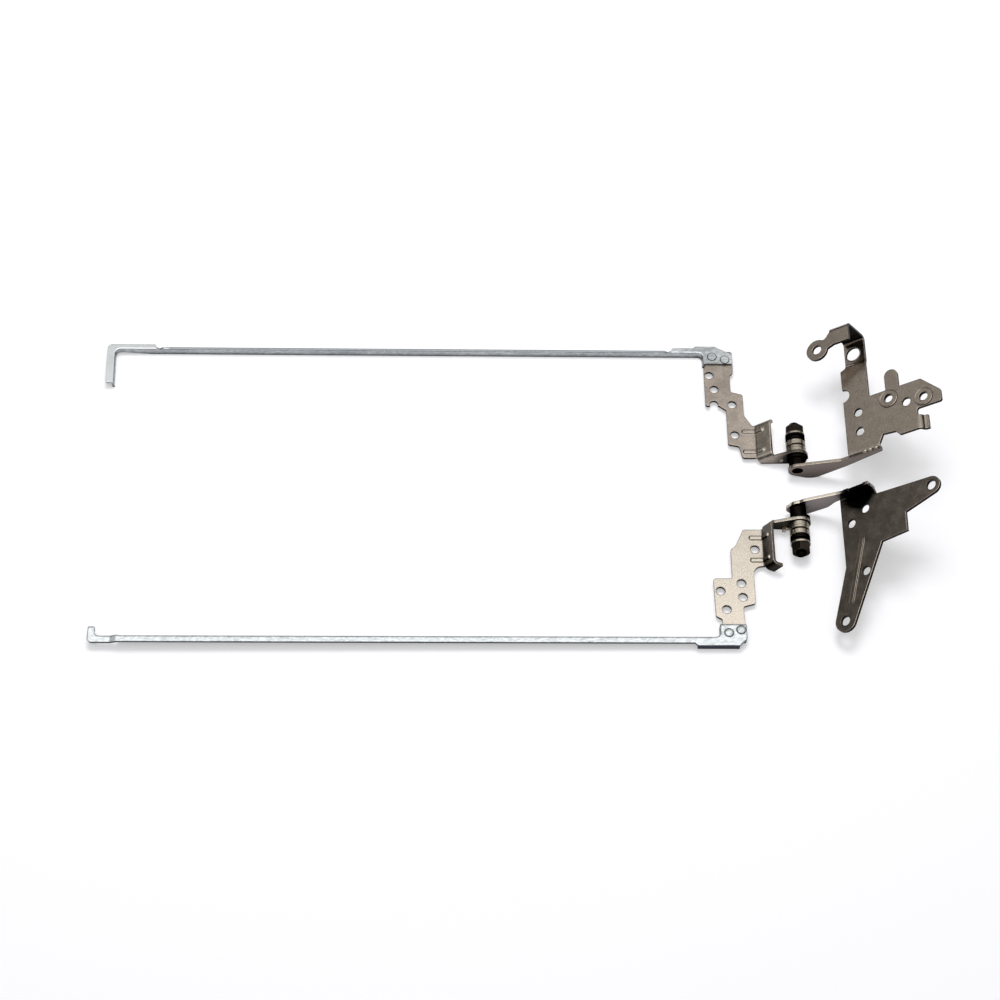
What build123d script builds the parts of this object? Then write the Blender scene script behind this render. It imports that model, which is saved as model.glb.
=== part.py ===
from build123d import *
import os
from math import atan2, cos, hypot, radians, sin, sqrt, tan

# Laptop hinge pair in millimetres, +Z up, lying opened on a table at z = 0.
# Each hinge is drawn in hinge axes: x runs from the shaft axis towards the base bracket, y along the shaft
# from the outer face of the base arm towards the nut, and z up from the shaft axis. The left hinge is drawn
# in the same axes and then mirrored in y. A base bracket is drawn with its plate level, then turned about
# the shaft.

# Layout of the pair on the table
ARM_SPACING = 13.0          # between the outer faces of the two base arms
RIGHT_LEAD = 0.9            # how far the right shaft stands ahead of the left one in x
RIGHT_TILT = 35.0           # degrees, right base plate above the table
LEFT_TILT = 40.0            # degrees, left base plate above the table

# Sheet metal
SHEET = 1.0                 # bracket sheet
BEND = 0.8                  # inside radius of the bracket folds
BASE_BEND = 0.2             # inside radius of the sharp folds of the base arms
RAIL_SHEET = 0.8            # rail sheet
RAIL_BEND = 0.5             # inside radius of the rail folds
PLATE_LIFT = 2.2            # top of the display plates above the table
SCREW_HOLE = 2.8            # diameter in the display plates
BASE_HOLE = 3.0             # diameter in the base plates

# Barrel, turned parts on the shaft
SHANK = 3.6                 # shaft diameter
FLATS = 2.8                 # across the two flats of the shank
STAKE = 3.5                 # diameter of the shaft end that is staked into the base arm
STAKE_SUNK = 0.15           # staked end below the outer face of the arm
COLLAR = 5.2
RUN_GAP = 0.05              # radial play of what turns on the shaft
KEY_GAP = 0.03              # radial play of what is fixed on the shaft
FACE_GAP = 0.04             # grease film between faces that turn on each other
WASHER = 6.3                # outside diameter of the washers
STOP_WASHER = 6.3
STOP_WASHER_THICK = 1.0
STOP_LUG = 0.6              # how far the stop lug stands out of its washer
STOP_LUG_WIDTH = 2.2
FRICTION_PLATE_THICK = 0.8
FRICTION_WASHER_THICK = 0.75
FRICTION_WASHERS = 2
PRESSURE_WASHER_THICK = 1.65
PRESSURE_STEP = 0.5         # height of the pressure washer's smaller step
PRESSURE_STEP_D = 5.0
RIM_NOTCH = 0.7             # width and depth of the notch in the pressure washer
SPRING_THICK = 0.5
SPRING_HEIGHT = 0.8         # one coned spring washer, free height
SPRINGS = 3
NUT_WASHER_THICK = 0.6
NUT_FLATS = 5.5
NUT_THICK = 2.8
RIGHT_TIP = 1.5             # thread standing out of the right nut
LEFT_TIP = 1.2
THREAD = 2.9
EDGE = 0.15                 # edge break on turned parts

# Base arms, round the staked shaft end
RIGHT_ARM_END = 3.0         # radius of the right arm's end round the shaft
RIGHT_HEEL = (4.2, -1.5)    # centre of the right arm's heel, which stands on the table
RIGHT_HEEL_R = 5.5
LEFT_ARM_END = 3.6          # left arm's end beyond the shaft axis
LEFT_ARM_UPPER = 2.7        # left arm's end above the shaft axis
LEFT_ARM_CORNER = 2.0       # radius of the upper corner
LEFT_HEEL_R = 4.0           # radius of the lower corner, which stands on the table

# Right base bracket, plate level
RIGHT_DROP = 1.5            # plate top below the shaft axis
RIGHT_PLATE_X = 17.4        # near edge of the plate
RIGHT_FOLD_LENGTH = 11.0    # fold between plate and arm
RIGHT_ARM_CORNER = 1.0      # radius of the arm's far lower corner
RIGHT_RECESS = ((29.9, 4.2), (34.2, 3.8))   # recess of the near edge beside the fold
RIGHT_RECESS_RUN = 1.4      # length over which it comes out again
RIGHT_EDGE_Y = 2.1          # near edge of the plate beyond the recess
RIGHT_ARM_KINK = 3.1        # where the arm's free edge turns, short of the plate
RIGHT_ARM_DEPTH = 4.8       # arm below the plate top where it leaves the heel
RIGHT_ARM_TAPER = 2.8       # arm below the plate top at its far end
RIGHT_STEM_X = 19.2         # near edge of the stem that carries the raised eye
RIGHT_STEM_WIDTH = 7.2
RIGHT_STEM_START = 33.0     # y where the stem begins
RIGHT_STEM_STEP = 0.5       # stem below the plate
RIGHT_WALL_Y = 43.6         # outer face of the wall at the end of the stem
RIGHT_WALL_RISE = 9.8       # raised tab above the plate
RIGHT_WALL_LEAN = 0.6       # how much narrower the wall is at its top
RIGHT_TAB_REACH = 6.7       # raised tab from the wall
RIGHT_NECK = 3.0            # half the width of the neck between the tab and its eye
RIGHT_EYE = (14.3, 36.8)
RIGHT_EYE_R = 3.7
RIGHT_EYE_HOLE = 3.2
RIGHT_STEM_HOLE = 5.0
RIGHT_STEM_HOLE_PLACE = (22.2, 37.8)
RIGHT_SIDE_NOTCH_Y = 22.8
RIGHT_SIDE_NOTCH_R = 2.4
RIGHT_WING_Y = 19.7         # far edge of the wing
RIGHT_WING_X = 50.7         # end of the wing
RIGHT_WING_TIP = 4.0        # length of the wing's end edge
RIGHT_WING_CORNER = 6.2     # cut corner of the wing
RIGHT_WING_SLOT = 9.4       # far side of the slot beside the hooked tab
RIGHT_TONGUE_X = 34.6
RIGHT_TONGUE_WIDTH = 4.6
RIGHT_TONGUE_LENGTH = 7.1
RIGHT_HOOK_X = 42.2         # root of the hooked tab
RIGHT_HOOK_WIDTH = 4.9
RIGHT_HOOK_STEP = 1.6       # hooked tab below the plate
RIGHT_HOOK_LENGTH = 2.6
RIGHT_RING_HOLES = ((33.1, 16.3), (44.9, 12.8))
RIGHT_PLAIN_HOLES = ((38.9, 13.0), (22.2, 15.0), (22.2, 7.9))
RING = 6.0                  # outside diameter of the raised rings
RING_HEIGHT = 0.3

# Left base bracket, plate level
LEFT_DROP = 4.2             # plate top below the shaft axis
LEFT_PLATE_X = 13.1         # near edge of the plate
LEFT_FOLD_LENGTH = 12.3
LEFT_ARM_TOP = 3.3          # top of the arm above the plate
LEFT_ARM_KINK = 16.5        # where the arm's free edge turns
LEFT_ARM_CREST = 4.0        # where the arm's free edge starts to fall, beyond the shaft axis
LEFT_ARM_SHOULDER = (7.9, -5.4)
LEFT_NUBS = (17.4, 24.6)    # small nubs on the arm's free edge
NUB_WIDTH = 1.8
NUB_HEIGHT = 0.35
LEFT_WING_ROOT = (26.1, 3.2)
LEFT_WING_EYE = (45.2, 7.3)
LEFT_WING_EYE_R = 3.0
LEFT_WING_NECK = (35.6, 13.2)
LEFT_SHELF = (35.5, 19.7)   # outer corner of the plate's shelf
LEFT_CROTCH = (26.4, 20.3)  # where the leg leaves the shelf
LEFT_HIP_Y = 25.0           # where the leg leaves the near edge
LEFT_LEG_EYE = (11.2, 43.0)
LEFT_LEG_EYE_R = 3.6
LEFT_EYE_HOLE = 3.2
LEFT_PLAIN_HOLES = ((21.7, 7.0), (16.4, 10.6), (20.0, 28.5))
LEFT_BEAD = ((19.6, 17.4), (13.9, 37.0))
BEAD_WIDTH = 1.7
BEAD_HEIGHT = 0.25

# Display brackets
EAR_R = 3.7                 # ring of the ear round the shaft
EAR_DROP = 0.7              # upper edge of the ear below the flange
RIGHT_EAR_Y = 5.0           # near face of the right ear
LEFT_EAR_Y = 5.75
RIGHT_FLANGE_X = -12.4      # where the right flange turns up
RIGHT_FLANGE_SLOPE = 39.0   # degrees
RIGHT_FLANGE_LENGTH = 6.2
RIGHT_FLANGE_END = 19.4     # y of the flange's far end
RIGHT_FLANGE_LIP = 1.2
RIGHT_PLATE_ENDS = (0.5, 0.9)   # how far the plate runs on past the near and far end of the flange
RIGHT_SPLAY = 3.9           # length over which the plate widens into the flange
LEFT_FLANGE_X = -11.3
LEFT_FLANGE_SLOPE = 58.0
LEFT_FLANGE_LENGTH = 5.4
LEFT_FLANGE_END = 21.8
LEFT_FLANGE_LIP = 2.8
LEFT_PLATE_ENDS = (0.1, 0.6)
LEFT_SPLAY = 0.0
RIB_WIDTH = 1.7
RIB_HEIGHT = 0.45
RIB_PLATE = 4.2             # rib length along the plate
RIB_FLANGE = 3.5            # rib length up the flange
RIGHT_RIBS = (8.4, 16.1)
LEFT_RIBS = (10.6, 18.6)
RIGHT_DISPLAY_HOLES = ((-26.5, 38.2), (-25.1, 32.7), (-19.5, 26.7), (-19.2, 15.0))
# corners of the right display plate, on the side that faces the shaft and on the other side
RIGHT_DISPLAY_INNER = ((-15.8, 30.6), (-19.7, 31.6), (-19.7, 38.2), (-18.5, 39.3))
RIGHT_DISPLAY_OUTER = ((-28.2, 26.3), (-23.7, 26.3), (-21.5, 24.6), (-21.5, 11.4), (-18.0, 10.7))
RIGHT_DISPLAY_FOOT = -17.0  # near end of the plate's outer edge
RIGHT_DISPLAY_NOTCH = (-25.4, 26.9)
RIGHT_DISPLAY_NOTCH_R = 1.4
LEFT_DISPLAY_INNER = ((-15.1, 33.8), (-19.0, 34.9), (-18.6, 39.3))
LEFT_DISPLAY_OUTER = (
    (-25.8, 39.3), (-27.7, 38.2), (-28.0, 25.0), (-22.0, 25.0), (-22.0, 14.6), (-20.4, 13.4))
LEFT_DISPLAY_FOOT = -17.7
FLANGE_CORNER = 2.8         # radius where the plate widens into the flange
LEFT_DISPLAY_HOLES = ((-14.3, 14.6), (-19.2, 26.7), (-19.0, 31.6), (-25.9, 29.4), (-24.3, 35.9))
KEY_SLOT = (-4.7, -1.9)     # slot in the ear for the friction plate's key
KEY_WIDTH = 1.1
KEY_HEIGHT = 1.3
KEY_BACK = 0.6              # bent end of the key, away from the ear

# Rails
RIGHT_HOOK_WEB = 2.0        # height of the web round the right hook
RIGHT_WEB_RAMP = 9.0        # length over which it falls to that height
FLANGE_NOTCH = 2.4          # V notch in the web at the ends of the right flanges, width
FLANGE_NOTCH_DEPTH = 0.7
RAIL_CORNER = 1.6           # inside corner between a rail and its pad or hook
RIGHT_RAIL_LENGTH = 208.6   # hook to the free edge of the pad
RIGHT_RAIL_TURN = 0.5       # degrees, rail against the hinge line
RIGHT_WEB_Y = 46.6          # inner face of the web
RIGHT_RAIL_FLANGE = 1.9     # width of the end flanges
RIGHT_HOOK_FLANGE = 16.2    # length of the flange at the hook
RIGHT_PAD_FLANGE = 10.2     # length of the flange at the pad
RIGHT_PAD_Y = 42.5
RIGHT_PAD_X = -28.4
RIGHT_PAD_WIDTH = 9.9
RIGHT_PAD_DEPTH = 6.7
RIGHT_PAD_LIP = 6.2         # bent lip on the outer edge of the pad
RIGHT_PAD_LIP_X = -30.6
RIGHT_RAIL_HOOK = 2.8       # width of the hook leg
RIGHT_RAIL_HOOK_LENGTH = 13.2
RIGHT_RAIL_HOOK_LEAN = 0.6
RIGHT_RIVETS = ((-25.3, 45.1), (-21.1, 43.9))
LEFT_RAIL_LENGTH = 204.1
LEFT_WEB_Y = 45.7
LEFT_RAIL_FLANGE = 2.2
LEFT_RAIL_LIFT = 0.35       # degrees, the free end of the left rail stands a little off the table
LEFT_PAD_Y = 41.5
LEFT_PAD_X = -26.8
LEFT_PAD_WIDTH = 8.3
LEFT_PAD_DEPTH = 7.3
LEFT_LIP = 2.5              # height of the bent lip on the outer edge of the pad
LEFT_LIP_LENGTH = 13.0
LEFT_LIP_CORNER = 2.4       # cut corner of the pad beyond the lip
LEFT_RAIL_HOOK = 2.2
LEFT_RAIL_HOOK_LENGTH = 3.2
LEFT_JOGGLE = 0.7           # hook end below the strip
LEFT_JOGGLE_X = 7.1         # from the end of the hook
LEFT_RIVETS = ((-24.1, 44.4), (-20.3, 43.4))
RIVET_HEAD = 2.7
RIVET_HEAD_HEIGHT = 0.25
RIVET = 1.8

# Worked out from the sizes above
# the right heel stands on the table, and so do the webs of the rails
HEEL_DROP = RIGHT_HEEL[0] * sin(radians(RIGHT_TILT)) + RIGHT_HEEL[1] * cos(radians(RIGHT_TILT))
AXIS_HEIGHT = RIGHT_HEEL_R - HEEL_DROP
WEB = PLATE_LIFT + RAIL_SHEET
PLATE_TOP = PLATE_LIFT - AXIS_HEIGHT        # top of the display plates, from the shaft axis
PLATE_UNDER = PLATE_TOP - SHEET
RAIL_TOP = PLATE_TOP + RAIL_SHEET


def outline(*corners):
    """Closed face through (x, y) or (x, y, radius) corners."""
    spans = []
    for i, corner in enumerate(corners):
        here = Vector(corner[0], corner[1])
        radius = corner[2] if len(corner) > 2 else 0
        if not radius:
            spans.append((here, None, here))
            continue
        back = (Vector(*corners[i - 1][:2]) - here).normalized()
        ahead = (Vector(*corners[(i + 1) % len(corners)][:2]) - here).normalized()
        half = radians(back.get_angle(ahead)) / 2
        reach = radius / tan(half)
        middle = here + (back + ahead).normalized() * (radius / sin(half) - radius)
        spans.append((here + back * reach, middle, here + ahead * reach))
    edges = []
    for i, (start, middle, end) in enumerate(spans):
        if middle is not None:
            edges.append(ThreePointArc(start, middle, end))
        following = spans[(i + 1) % len(spans)][0]
        if (following - end).length > 0.001:
            edges.append(Line(end, following))
    return make_face(edges)


def folded(thickness, bend, *path):
    """Section of a folded sheet that lies to the left of an open path along its outer or inner side."""
    points = [Vector(*p) for p in path]
    runs = [(b - a).normalized() for a, b in zip(points, points[1:])]
    lefts = [Vector(-r.Y, r.X) for r in runs]
    near = [(points[0].X, points[0].Y)]
    far = [points[0] + lefts[0] * thickness]
    for point, run, left, next_run, next_left in zip(points[1:-1], runs, lefts, runs[1:], lefts[1:]):
        turns_left = run.X * next_run.Y - run.Y * next_run.X > 0
        mitre = point + (left + next_left) * (thickness / (1 + left.dot(next_left)))
        near.append((point.X, point.Y, bend + thickness * turns_left))
        far.append((mitre.X, mitre.Y, bend + thickness * (not turns_left)))
    near.append((points[-1].X, points[-1].Y))
    far.append(points[-1] + lefts[-1] * thickness)
    far = [p if isinstance(p, tuple) else (p.X, p.Y) for p in far]
    return outline(*near, *reversed(far))


def touch(point, radius, side, centre=(0, 0)):
    """Point where a line from an outside point touches a circle, on its left (side 1) or right (side -1)."""
    dx = centre[0] - point[0]
    dy = centre[1] - point[1]
    distance = hypot(dx, dy)
    length = sqrt(distance ** 2 - radius ** 2)
    angle = atan2(dy, dx) + side * atan2(radius, length)
    return point[0] + length * cos(angle), point[1] + length * sin(angle)


def joined_discs(first, first_r, second, second_r):
    """Two discs and the straight sides that touch both."""
    dx = second[0] - first[0]
    dy = second[1] - first[1]
    lean = atan2(sqrt((dx * dx + dy * dy) - (first_r - second_r) ** 2), first_r - second_r)
    along = atan2(dy, dx)
    sides = []
    for angle in (along + lean, along - lean):
        sides.append([(c[0] + r * cos(angle), c[1] + r * sin(angle)) for c, r in
                      ((first, first_r), (second, second_r))])
    (a, b), (d, c) = sides
    return outline(a, b, c, d) + Pos(*first) * Circle(first_r) + Pos(*second) * Circle(second_r)


def along_x(face, start, end):
    """Solid from a face drawn in (y, z)."""
    return extrude(Plane.YZ.offset(start) * face, amount=end - start)


def along_y(face, start, end):
    """Solid from a face drawn in (x, z)."""
    return extrude(Plane.XZ.offset(-start) * face, amount=start - end)


def along_z(face, start, end):
    """Solid from a face drawn in (x, y)."""
    return extrude(Plane.XY.offset(start) * face, amount=end - start)


def drill(places, diameter, low, high):
    """Upright round cutters."""
    return [along_z(Pos(x, y) * Circle(diameter / 2), low, high) for x, y in places]


def round_bar(diameter, start, end):
    """Cylinder on the shaft axis."""
    return along_y(Circle(diameter / 2), start, end)


def flatted(diameter, flats):
    """Round section with two flats, for the keyed part of the shank."""
    return Circle(diameter / 2) & Rectangle(flats, 2 * diameter)


def key_bore():
    """Hole that fits the flatted shank."""
    return flatted(SHANK + 2 * KEY_GAP, FLATS + 2 * KEY_GAP)


def stack(ear_y, tip):
    """Where each barrel piece starts along the shaft, for an ear whose near face is at ear_y."""
    places = {"stop": ear_y - FACE_GAP - STOP_WASHER_THICK, "ear": ear_y}
    places["friction_plate"] = ear_y + SHEET
    places["friction_washers"] = places["friction_plate"] + FRICTION_PLATE_THICK + FACE_GAP
    places["pressure"] = places["friction_washers"] + FRICTION_WASHERS * FRICTION_WASHER_THICK
    places["springs"] = places["pressure"] + PRESSURE_STEP + PRESSURE_WASHER_THICK
    places["nut_washer"] = places["springs"] + SPRINGS * SPRING_HEIGHT
    places["nut"] = places["nut_washer"] + NUT_WASHER_THICK
    places["tip"] = places["nut"] + NUT_THICK + tip
    return places


def hinge_shaft(at):
    """Shaft with its staked end, collar, round journal, flatted shank and threaded tip."""
    shaft = round_bar(STAKE, STAKE_SUNK, SHEET)
    shaft += round_bar(COLLAR, SHEET, at["stop"])
    shaft += along_y(flatted(SHANK, FLATS), at["stop"], at["ear"])
    shaft += round_bar(SHANK, at["ear"], at["friction_washers"])
    shaft += along_y(flatted(SHANK, FLATS), at["friction_washers"], at["nut"])
    thread = round_bar(THREAD, at["nut"], at["tip"])
    end = thread.faces().sort_by(Axis.Y)[-1].edges()
    return shaft + chamfer(end, THREAD / 5)


def stop_washer(at):
    """Washer keyed on the shaft, with a lug that meets the ear's stop at the end of the travel."""
    lug = Pos(STOP_WASHER / 2, 0) * Rectangle(STOP_LUG * 3, STOP_LUG_WIDTH)
    face = Circle(STOP_WASHER / 2) + (lug & Circle(STOP_WASHER / 2 + STOP_LUG)) - key_bore()
    return along_y(face, at["stop"], at["stop"] + STOP_WASHER_THICK)


def friction_plate(at):
    """Plate keyed to the ear by a finger that is bent back and a prong that enters the ear's slot."""
    start = at["friction_plate"]
    end = start + FRICTION_PLATE_THICK
    key_x, key_z = KEY_SLOT
    tip_x = key_x - KEY_WIDTH / 2
    low = key_z - KEY_HEIGHT / 2
    high = key_z + KEY_HEIGHT / 2
    finger = outline((0, low), (0, high), (tip_x, high), (tip_x, low))
    plate = along_y(Circle(WASHER / 2) + finger - Circle(SHANK / 2 + RUN_GAP), start, end)
    prong = Pos(*KEY_SLOT) * Rectangle(KEY_WIDTH, KEY_HEIGHT)
    return plate + along_y(prong, at["ear"], end + KEY_BACK)


def friction_washers(at):
    """Washers keyed on the shaft."""
    face = Circle(WASHER / 2) - key_bore()
    start = at["friction_washers"]
    washers = []
    for i in range(FRICTION_WASHERS):
        low = start + i * FRICTION_WASHER_THICK
        washer = along_y(face, low, low + FRICTION_WASHER_THICK)
        rim = washer.edges().filter_by(GeomType.CIRCLE).sort_by(SortBy.RADIUS)[-2:].sort_by(Axis.Y)[-1]
        washers.append(chamfer(rim, EDGE))
    return washers


def pressure_washer(at):
    """Thick keyed washer with a smaller step on the friction side and a notch in its rim."""
    start = at["pressure"]
    step = start + PRESSURE_STEP
    body = along_y(Circle(WASHER / 2), step, step + PRESSURE_WASHER_THICK)
    body = chamfer(body.edges().filter_by(GeomType.CIRCLE), EDGE)
    body += along_y(Circle(PRESSURE_STEP_D / 2), start, step)
    notch = Pos(0, WASHER / 2) * Rectangle(RIM_NOTCH, RIM_NOTCH)
    through = at["springs"]
    return body - along_y(key_bore(), start, through) - along_y(notch, step, through)


def spring_washers(at):
    """Coned spring washers, stacked face to face in turn."""
    inner = SHANK / 2 + KEY_GAP
    outer = WASHER / 2
    rise = SPRING_HEIGHT - SPRING_THICK
    springs = []
    for i in range(SPRINGS):
        low = at["springs"] + i * SPRING_HEIGHT
        first, last = (rise, 0) if i % 2 else (0, rise)
        section = outline((inner, low + first), (outer, low + last), (outer, low + last + SPRING_THICK),
                          (inner, low + first + SPRING_THICK))
        springs.append(revolve(section, Axis.Y))
    return springs


def nut_washer(at):
    """Thin washer under the nut."""
    face = Circle(WASHER / 2) - key_bore()
    return along_y(face, at["nut_washer"], at["nut"])


def lock_nut(at):
    """Hexagon nut with chamfered corners."""
    start = at["nut"]
    end = start + NUT_THICK
    corner = NUT_FLATS / sqrt(3)
    nut = along_y(RegularPolygon(NUT_FLATS / 2, 6, major_radius=False), start, end)
    slack = corner - NUT_FLATS / 2
    cone = outline((0, start), (corner, start), (corner, end - slack), (NUT_FLATS / 2, end), (0, end))
    return (nut & revolve(cone, Axis.Y)) - round_bar(THREAD + 2 * KEY_GAP, start, end)


def right_base_bracket():
    """Stepped plate with a wing, a stem that ends in a raised eye, and an arm folded down to the shaft."""
    top = -RIGHT_DROP
    under = top - SHEET
    inside = SHEET + BASE_BEND
    arm_top = under - BASE_BEND
    fold_end = RIGHT_PLATE_X + RIGHT_FOLD_LENGTH
    stem_end = RIGHT_STEM_X + RIGHT_STEM_WIDTH
    wing_cut_y = RIGHT_WING_Y - RIGHT_WING_CORNER
    wing_cut_x = RIGHT_WING_X - RIGHT_WING_CORNER

    plan = outline(
        (RIGHT_PLATE_X, inside), (fold_end, inside), *RIGHT_RECESS,
        (RIGHT_RECESS[-1][0] + RIGHT_RECESS_RUN, RIGHT_EDGE_Y), (RIGHT_HOOK_X, RIGHT_EDGE_Y),
        (RIGHT_HOOK_X, RIGHT_WING_SLOT, BEND), (RIGHT_WING_X, RIGHT_WING_SLOT, BEND),
        (RIGHT_WING_X, wing_cut_y, BEND), (wing_cut_x, RIGHT_WING_Y, BEND), (stem_end, RIGHT_WING_Y, BEND),
        (stem_end, RIGHT_STEM_START), (RIGHT_STEM_X, RIGHT_STEM_START),
        (RIGHT_PLATE_X, RIGHT_STEM_START - BEND))
    half_tongue = RIGHT_TONGUE_WIDTH / 2
    tongue_end = RIGHT_WING_Y + RIGHT_TONGUE_LENGTH
    tongue_root = RIGHT_WING_Y - SHEET
    plan += outline(
        (RIGHT_TONGUE_X - half_tongue, tongue_root), (RIGHT_TONGUE_X + half_tongue, tongue_root),
        (RIGHT_TONGUE_X + half_tongue, tongue_end, half_tongue),
        (RIGHT_TONGUE_X - half_tongue, tongue_end, half_tongue))
    plan -= Pos(RIGHT_PLATE_X, RIGHT_SIDE_NOTCH_Y) * Circle(RIGHT_SIDE_NOTCH_R)
    bracket = along_z(plan, under, top)

    tab_top = top + RIGHT_WALL_RISE
    tab_near = RIGHT_WALL_Y - RIGHT_TAB_REACH
    stem = folded(
        SHEET, BEND, (RIGHT_STEM_START - SHEET, under), (RIGHT_STEM_START, under),
        (RIGHT_STEM_START + 2 * RIGHT_STEM_STEP, under - RIGHT_STEM_STEP),
        (RIGHT_WALL_Y, under - RIGHT_STEM_STEP), (RIGHT_WALL_Y, tab_top), (tab_near, tab_top))
    bracket += along_x(stem, RIGHT_STEM_X, stem_end)
    beside_wall = outline(
        (stem_end, top), (stem_end + SHEET, top), (stem_end + SHEET, tab_top + SHEET),
        (stem_end - RIGHT_WALL_LEAN, tab_top + SHEET), (stem_end - RIGHT_WALL_LEAN, tab_top))
    bracket -= along_y(beside_wall, tab_near, RIGHT_WALL_Y)

    eye_x, eye_y = RIGHT_EYE
    shoulder = RIGHT_WALL_Y - SHEET - BEND
    side = RIGHT_STEM_X - SHEET
    neck = outline(
        (RIGHT_STEM_X + SHEET, tab_near), (RIGHT_STEM_X + SHEET, shoulder), (RIGHT_STEM_X, shoulder),
        (side, shoulder - SHEET), (side, eye_y + RIGHT_NECK + BEND), (side - SHEET, eye_y + RIGHT_NECK),
        (eye_x, eye_y + RIGHT_NECK), (eye_x, eye_y), (eye_x + RIGHT_NECK * 0.7, eye_y - RIGHT_NECK),
        (side - BEND, tab_near - SHEET, BEND))
    neck += Pos(eye_x, eye_y) * Circle(RIGHT_EYE_R)
    bracket += along_z(neck, tab_top - SHEET, tab_top)

    hook_bend = RIGHT_HOOK_X + SHEET / 4
    hook = folded(
        SHEET, BEND, (hook_bend - 2 * SHEET, under), (hook_bend, under),
        (hook_bend + RIGHT_HOOK_STEP / 2, under - RIGHT_HOOK_STEP),
        (hook_bend + RIGHT_HOOK_LENGTH, under - RIGHT_HOOK_STEP))
    bracket += along_y(hook, RIGHT_EDGE_Y, RIGHT_EDGE_Y + RIGHT_HOOK_WIDTH)

    fold = folded(SHEET, BASE_BEND, (inside + SHEET, top), (0, top), (0, arm_top - BASE_BEND))
    bracket += along_x(fold, RIGHT_PLATE_X, fold_end)

    kink = (RIGHT_PLATE_X - RIGHT_ARM_KINK, under)
    shoulder = touch(kink, RIGHT_ARM_END, -1)
    clear = RIGHT_HEEL_R + RIGHT_ARM_END
    arm = joined_discs((0, 0), RIGHT_ARM_END, RIGHT_HEEL, RIGHT_HEEL_R)
    above = outline((0, 0), shoulder, kink, (kink[0], clear), (-clear, clear), (-clear, 0))
    arm -= above - Circle(RIGHT_ARM_END)
    arm += outline(
        (0, 0), shoulder, kink, (RIGHT_PLATE_X, under), (RIGHT_PLATE_X, arm_top), (fold_end, arm_top),
        (fold_end, top - RIGHT_ARM_TAPER, RIGHT_ARM_CORNER), (kink[0], top - RIGHT_ARM_DEPTH),
        (RIGHT_HEEL[0], RIGHT_HEEL[1] - RIGHT_HEEL_R))
    bracket += along_y(arm, 0, SHEET)

    rings = [(Pos(x, y) * Circle(RING / 2)) for x, y in RIGHT_RING_HOLES]
    for ring in rings:
        bracket += along_z(ring, under, top + RING_HEIGHT)
    low = under - RIGHT_STEM_STEP
    bracket -= drill(RIGHT_RING_HOLES + RIGHT_PLAIN_HOLES, BASE_HOLE, low, top + SHEET)
    bracket -= drill((RIGHT_STEM_HOLE_PLACE,), RIGHT_STEM_HOLE, low, top + SHEET)
    bracket -= drill((RIGHT_EYE,), RIGHT_EYE_HOLE, tab_top - SHEET, tab_top)
    return bracket - round_bar(STAKE + 2 * KEY_GAP, 0, SHEET)


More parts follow.
